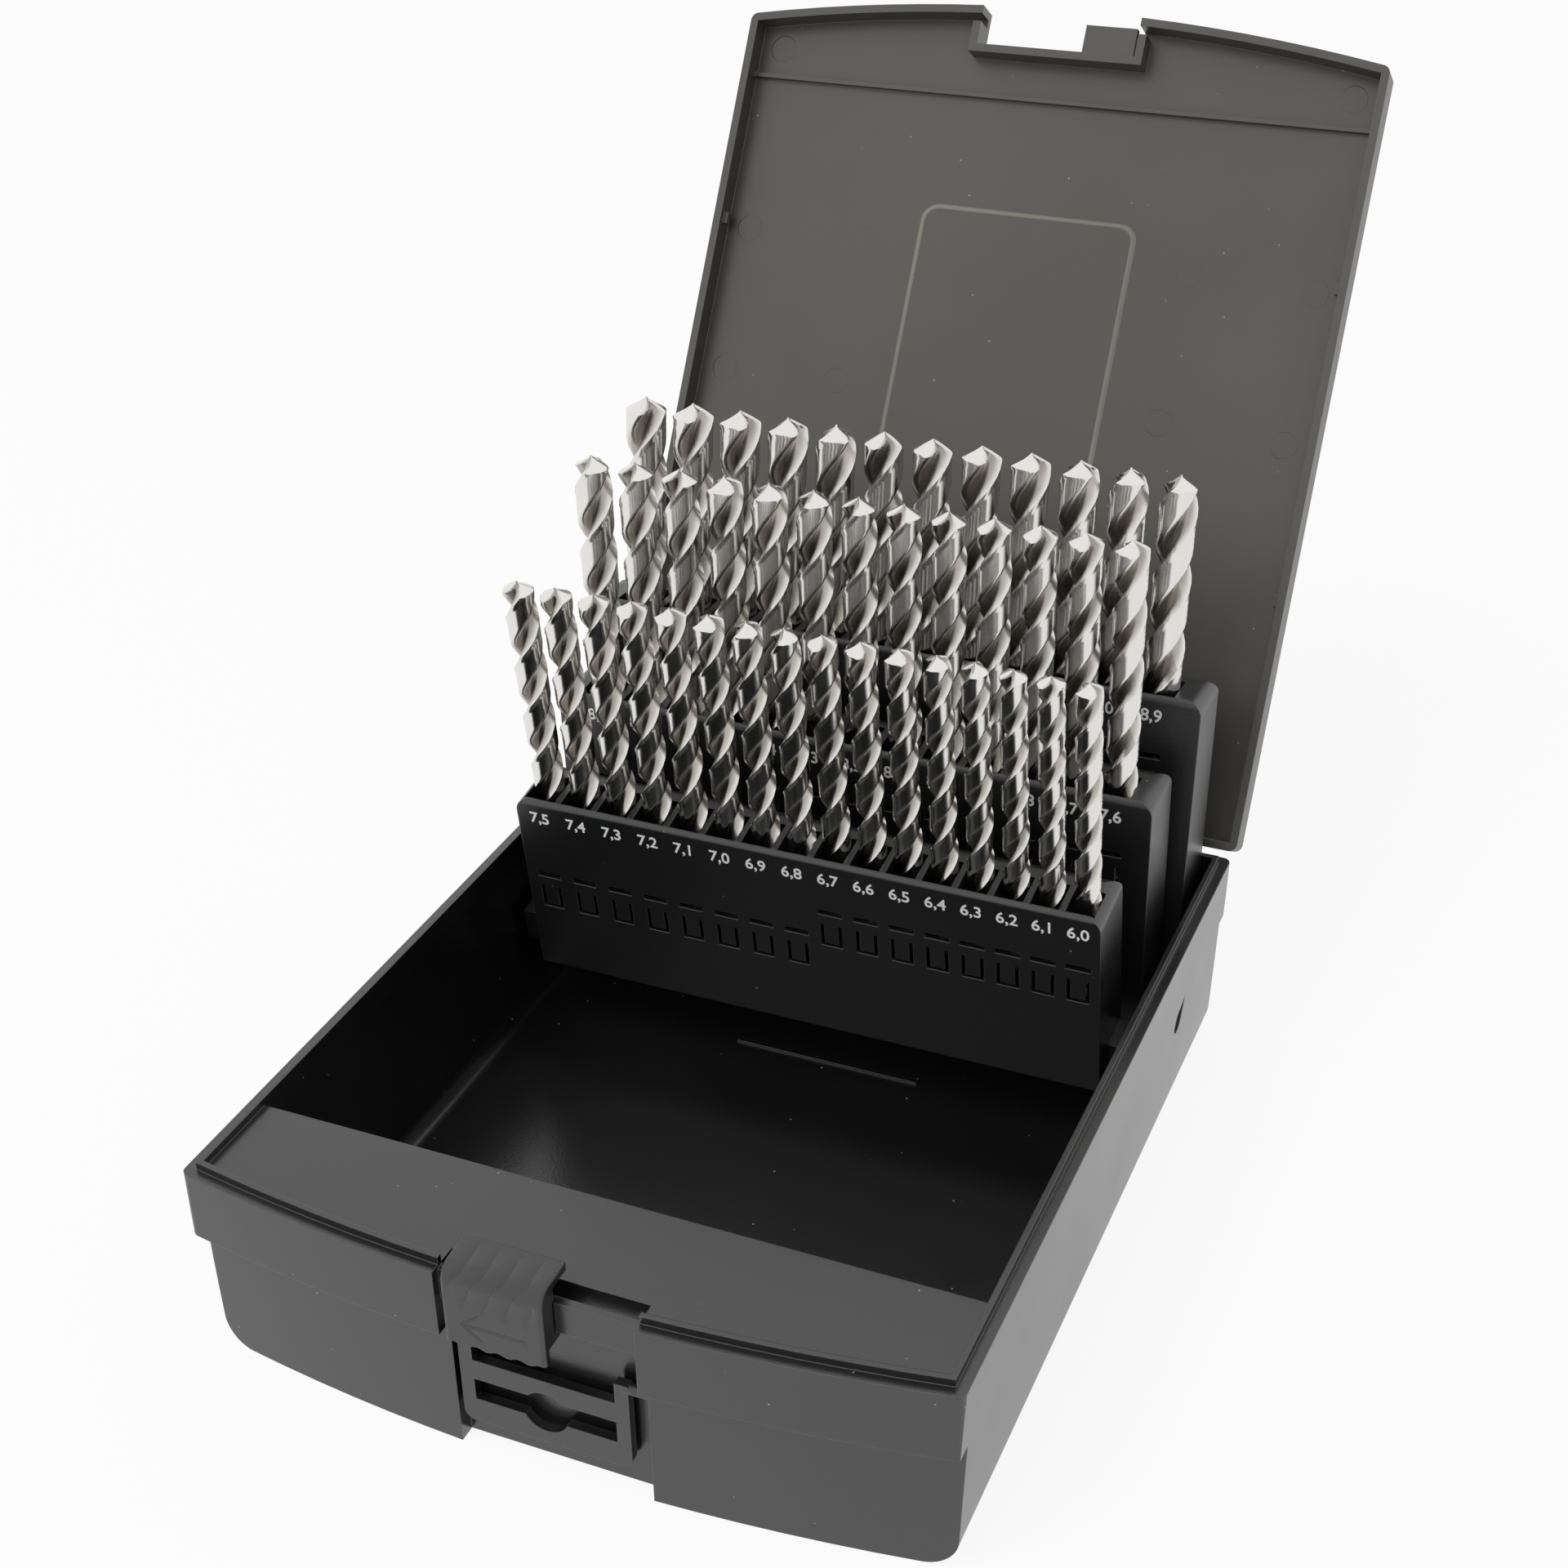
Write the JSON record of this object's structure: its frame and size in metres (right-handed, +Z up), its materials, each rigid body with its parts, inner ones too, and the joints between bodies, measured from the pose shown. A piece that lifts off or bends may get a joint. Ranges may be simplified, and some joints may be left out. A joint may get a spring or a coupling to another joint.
{
  "type": "drill bit case",
  "caption": "Black hinged drill bit case standing open, with three folding racks of twist drills, a sliding catch and a hanger tab.",
  "frame": {"origin": "middle of the case's underside, midway between the side walls and between the front corners and the back", "axes": "+Z up, -Y towards the front with the catch, +X towards the right-hand side wall seen from the front"},
  "size_m": [0.168, 0.3183, 0.2178],
  "materials": {
    "case_plastic": "satin black moulded plastic with a fine grain",
    "rack_plastic": "satin black moulded plastic",
    "pin_plastic": "satin black moulded plastic",
    "catch_plastic": "satin black moulded plastic",
    "print_white": "matt white foil print",
    "hinge_steel": "drawn steel wire",
    "drill_steel": "bright ground steel"
  },
  "bodies": {
    "base": {"base_shell": "case_plastic", "left_hinge_pin": "hinge_steel", "right_hinge_pin": "hinge_steel", "front_rack_pins": "pin_plastic", "middle_rack_pins": "pin_plastic", "rear_rack_pins": "pin_plastic"},
    "lid": {"lid": "case_plastic"},
    "catch": {"latch_slider": "catch_plastic"},
    "hanger": {"hanger_tab": "catch_plastic"},
    "front_rack": {"front_rack": "rack_plastic", "front_rack_arms": "rack_plastic"},
    "middle_rack": {"middle_rack": "rack_plastic"},
    "rear_rack": {"rear_rack": "rack_plastic", "rear_rack_arms": "rack_plastic"},
    "drill_7_5": {"drill_7_5": "drill_steel"},
    "drill_7_4": {"drill_7_4": "drill_steel"},
    "drill_7_3": {"drill_7_3": "drill_steel"},
    "drill_7_2": {"drill_7_2": "drill_steel"},
    "drill_7_1": {"drill_7_1": "drill_steel"},
    "drill_7_0": {"drill_7_0": "drill_steel"},
    "drill_6_9": {"drill_6_9": "drill_steel"},
    "drill_6_8": {"drill_6_8": "drill_steel"},
    "drill_6_7": {"drill_6_7": "drill_steel"},
    "drill_6_6": {"drill_6_6": "drill_steel"},
    "drill_6_5": {"drill_6_5": "drill_steel"},
    "drill_6_4": {"drill_6_4": "drill_steel"},
    "drill_6_3": {"drill_6_3": "drill_steel"},
    "drill_6_2": {"drill_6_2": "drill_steel"},
    "drill_6_1": {"drill_6_1": "drill_steel"},
    "drill_6_0": {"drill_6_0": "drill_steel"},
    "drill_8_8": {"drill_8_8": "drill_steel"},
    "drill_8_7": {"drill_8_7": "drill_steel"},
    "drill_8_6": {"drill_8_6": "drill_steel"},
    "drill_8_5": {"drill_8_5": "drill_steel"},
    "drill_8_4": {"drill_8_4": "drill_steel"},
    "drill_8_3": {"drill_8_3": "drill_steel"},
    "drill_8_2": {"drill_8_2": "drill_steel"},
    "drill_8_1": {"drill_8_1": "drill_steel"},
    "drill_8_0": {"drill_8_0": "drill_steel"},
    "drill_7_9": {"drill_7_9": "drill_steel"},
    "drill_7_8": {"drill_7_8": "drill_steel"},
    "drill_7_7": {"drill_7_7": "drill_steel"},
    "drill_7_6": {"drill_7_6": "drill_steel"},
    "drill_10_0": {"drill_10_0": "drill_steel"},
    "drill_9_9": {"drill_9_9": "drill_steel"},
    "drill_9_8": {"drill_9_8": "drill_steel"},
    "drill_9_7": {"drill_9_7": "drill_steel"},
    "drill_9_6": {"drill_9_6": "drill_steel"},
    "drill_9_5": {"drill_9_5": "drill_steel"},
    "drill_9_4": {"drill_9_4": "drill_steel"},
    "drill_9_3": {"drill_9_3": "drill_steel"},
    "drill_9_2": {"drill_9_2": "drill_steel"},
    "drill_9_1": {"drill_9_1": "drill_steel"},
    "drill_9_0": {"drill_9_0": "drill_steel"},
    "drill_8_9": {"drill_8_9": "drill_steel"}
  },
  "joints": [
    {"name": "lid_hinge", "type": "hinge", "parent": "base", "child": "lid", "pos_m": [0, 0.0985, 0.0464], "axis": [-1, 0, 0], "range_deg": [-121.5, 0]},
    {"name": "latch_slide", "type": "slide", "parent": "base", "child": "catch", "axis": [1, 0, 0], "range_m": [0, 0.017]},
    {"name": "hanger_swing", "type": "hinge", "parent": "base", "child": "hanger", "pos_m": [0, -0.098, 0.027], "axis": [-1, 0, 0], "range_deg": [0, 90]},
    {"name": "front_rack_fold", "type": "hinge", "parent": "base", "child": "front_rack", "pos_m": [0, 0.05557, 0.02718], "axis": [-1, 0, 0], "range_deg": [-82.01, 0]},
    {"name": "middle_rack_fold", "type": "hinge", "parent": "base", "child": "middle_rack", "pos_m": [0, 0.06304, 0.02672], "axis": [-1, 0, 0], "range_deg": [-88.01, 0]},
    {"name": "rear_rack_fold", "type": "hinge", "parent": "base", "child": "rear_rack", "pos_m": [0, 0.06691, 0.02949], "axis": [-1, 0, 0], "range_deg": [-95.01, 0]},
    {"name": "pull_7_5", "type": "slide", "parent": "front_rack", "child": "drill_7_5", "axis": [0, -0.1392, 0.9903], "range_m": [0, 0.0533]},
    {"name": "pull_7_4", "type": "slide", "parent": "front_rack", "child": "drill_7_4", "axis": [0, -0.1392, 0.9903], "range_m": [0, 0.0533]},
    {"name": "pull_7_3", "type": "slide", "parent": "front_rack", "child": "drill_7_3", "axis": [0, -0.1392, 0.9903], "range_m": [0, 0.0533]},
    {"name": "pull_7_2", "type": "slide", "parent": "front_rack", "child": "drill_7_2", "axis": [0, -0.1392, 0.9903], "range_m": [0, 0.0533]},
    {"name": "pull_7_1", "type": "slide", "parent": "front_rack", "child": "drill_7_1", "axis": [0, -0.1392, 0.9903], "range_m": [0, 0.0533]},
    {"name": "pull_7_0", "type": "slide", "parent": "front_rack", "child": "drill_7_0", "axis": [0, -0.1392, 0.9903], "range_m": [0, 0.0533]},
    {"name": "pull_6_9", "type": "slide", "parent": "front_rack", "child": "drill_6_9", "axis": [0, -0.1392, 0.9903], "range_m": [0, 0.0533]},
    {"name": "pull_6_8", "type": "slide", "parent": "front_rack", "child": "drill_6_8", "axis": [0, -0.1392, 0.9903], "range_m": [0, 0.0533]},
    {"name": "pull_6_7", "type": "slide", "parent": "front_rack", "child": "drill_6_7", "axis": [0, -0.1392, 0.9903], "range_m": [0, 0.0453]},
    {"name": "pull_6_6", "type": "slide", "parent": "front_rack", "child": "drill_6_6", "axis": [0, -0.1392, 0.9903], "range_m": [0, 0.0453]},
    {"name": "pull_6_5", "type": "slide", "parent": "front_rack", "child": "drill_6_5", "axis": [0, -0.1392, 0.9903], "range_m": [0, 0.0453]},
    {"name": "pull_6_4", "type": "slide", "parent": "front_rack", "child": "drill_6_4", "axis": [0, -0.1392, 0.9903], "range_m": [0, 0.0453]},
    {"name": "pull_6_3", "type": "slide", "parent": "front_rack", "child": "drill_6_3", "axis": [0, -0.1392, 0.9903], "range_m": [0, 0.0453]},
    {"name": "pull_6_2", "type": "slide", "parent": "front_rack", "child": "drill_6_2", "axis": [0, -0.1392, 0.9903], "range_m": [0, 0.0453]},
    {"name": "pull_6_1", "type": "slide", "parent": "front_rack", "child": "drill_6_1", "axis": [0, -0.1392, 0.9903], "range_m": [0, 0.0453]},
    {"name": "pull_6_0", "type": "slide", "parent": "front_rack", "child": "drill_6_0", "axis": [0, -0.1392, 0.9903], "range_m": [0, 0.0373]},
    {"name": "pull_8_8", "type": "slide", "parent": "middle_rack", "child": "drill_8_8", "axis": [0, -0.0349, 0.9994], "range_m": [0, 0.0663]},
    {"name": "pull_8_7", "type": "slide", "parent": "middle_rack", "child": "drill_8_7", "axis": [0, -0.0349, 0.9994], "range_m": [0, 0.0663]},
    {"name": "pull_8_6", "type": "slide", "parent": "middle_rack", "child": "drill_8_6", "axis": [0, -0.0349, 0.9994], "range_m": [0, 0.0663]},
    {"name": "pull_8_5", "type": "slide", "parent": "middle_rack", "child": "drill_8_5", "axis": [0, -0.0349, 0.9994], "range_m": [0, 0.0583]},
    {"name": "pull_8_4", "type": "slide", "parent": "middle_rack", "child": "drill_8_4", "axis": [0, -0.0349, 0.9994], "range_m": [0, 0.0583]},
    {"name": "pull_8_3", "type": "slide", "parent": "middle_rack", "child": "drill_8_3", "axis": [0, -0.0349, 0.9994], "range_m": [0, 0.0583]},
    {"name": "pull_8_2", "type": "slide", "parent": "middle_rack", "child": "drill_8_2", "axis": [0, -0.0349, 0.9994], "range_m": [0, 0.0583]},
    {"name": "pull_8_1", "type": "slide", "parent": "middle_rack", "child": "drill_8_1", "axis": [0, -0.0349, 0.9994], "range_m": [0, 0.0583]},
    {"name": "pull_8_0", "type": "slide", "parent": "middle_rack", "child": "drill_8_0", "axis": [0, -0.0349, 0.9994], "range_m": [0, 0.0583]},
    {"name": "pull_7_9", "type": "slide", "parent": "middle_rack", "child": "drill_7_9", "axis": [0, -0.0349, 0.9994], "range_m": [0, 0.0583]},
    {"name": "pull_7_8", "type": "slide", "parent": "middle_rack", "child": "drill_7_8", "axis": [0, -0.0349, 0.9994], "range_m": [0, 0.0583]},
    {"name": "pull_7_7", "type": "slide", "parent": "middle_rack", "child": "drill_7_7", "axis": [0, -0.0349, 0.9994], "range_m": [0, 0.0583]},
    {"name": "pull_7_6", "type": "slide", "parent": "middle_rack", "child": "drill_7_6", "axis": [0, -0.0349, 0.9994], "range_m": [0, 0.0583]},
    {"name": "pull_10_0", "type": "slide", "parent": "rear_rack", "child": "drill_10_0", "axis": [0, 0.0872, 0.9962], "range_m": [0, 0.0843]},
    {"name": "pull_9_9", "type": "slide", "parent": "rear_rack", "child": "drill_9_9", "axis": [0, 0.0872, 0.9962], "range_m": [0, 0.0843]},
    {"name": "pull_9_8", "type": "slide", "parent": "rear_rack", "child": "drill_9_8", "axis": [0, 0.0872, 0.9962], "range_m": [0, 0.0843]},
    {"name": "pull_9_7", "type": "slide", "parent": "rear_rack", "child": "drill_9_7", "axis": [0, 0.0872, 0.9962], "range_m": [0, 0.0843]},
    {"name": "pull_9_6", "type": "slide", "parent": "rear_rack", "child": "drill_9_6", "axis": [0, 0.0872, 0.9962], "range_m": [0, 0.0843]},
    {"name": "pull_9_5", "type": "slide", "parent": "rear_rack", "child": "drill_9_5", "axis": [0, 0.0872, 0.9962], "range_m": [0, 0.0763]},
    {"name": "pull_9_4", "type": "slide", "parent": "rear_rack", "child": "drill_9_4", "axis": [0, 0.0872, 0.9962], "range_m": [0, 0.0763]},
    {"name": "pull_9_3", "type": "slide", "parent": "rear_rack", "child": "drill_9_3", "axis": [0, 0.0872, 0.9962], "range_m": [0, 0.0763]},
    {"name": "pull_9_2", "type": "slide", "parent": "rear_rack", "child": "drill_9_2", "axis": [0, 0.0872, 0.9962], "range_m": [0, 0.0763]},
    {"name": "pull_9_1", "type": "slide", "parent": "rear_rack", "child": "drill_9_1", "axis": [0, 0.0872, 0.9962], "range_m": [0, 0.0763]},
    {"name": "pull_9_0", "type": "slide", "parent": "rear_rack", "child": "drill_9_0", "axis": [0, 0.0872, 0.9962], "range_m": [0, 0.0763]},
    {"name": "pull_8_9", "type": "slide", "parent": "rear_rack", "child": "drill_8_9", "axis": [0, 0.0872, 0.9962], "range_m": [0, 0.0763]}
  ],
  "couplings": [
    {"joint": "front_rack_fold", "follows": "lid_hinge", "ratio": 0.6749},
    {"joint": "middle_rack_fold", "follows": "lid_hinge", "ratio": 0.72428},
    {"joint": "rear_rack_fold", "follows": "lid_hinge", "ratio": 0.78189}
  ]
}
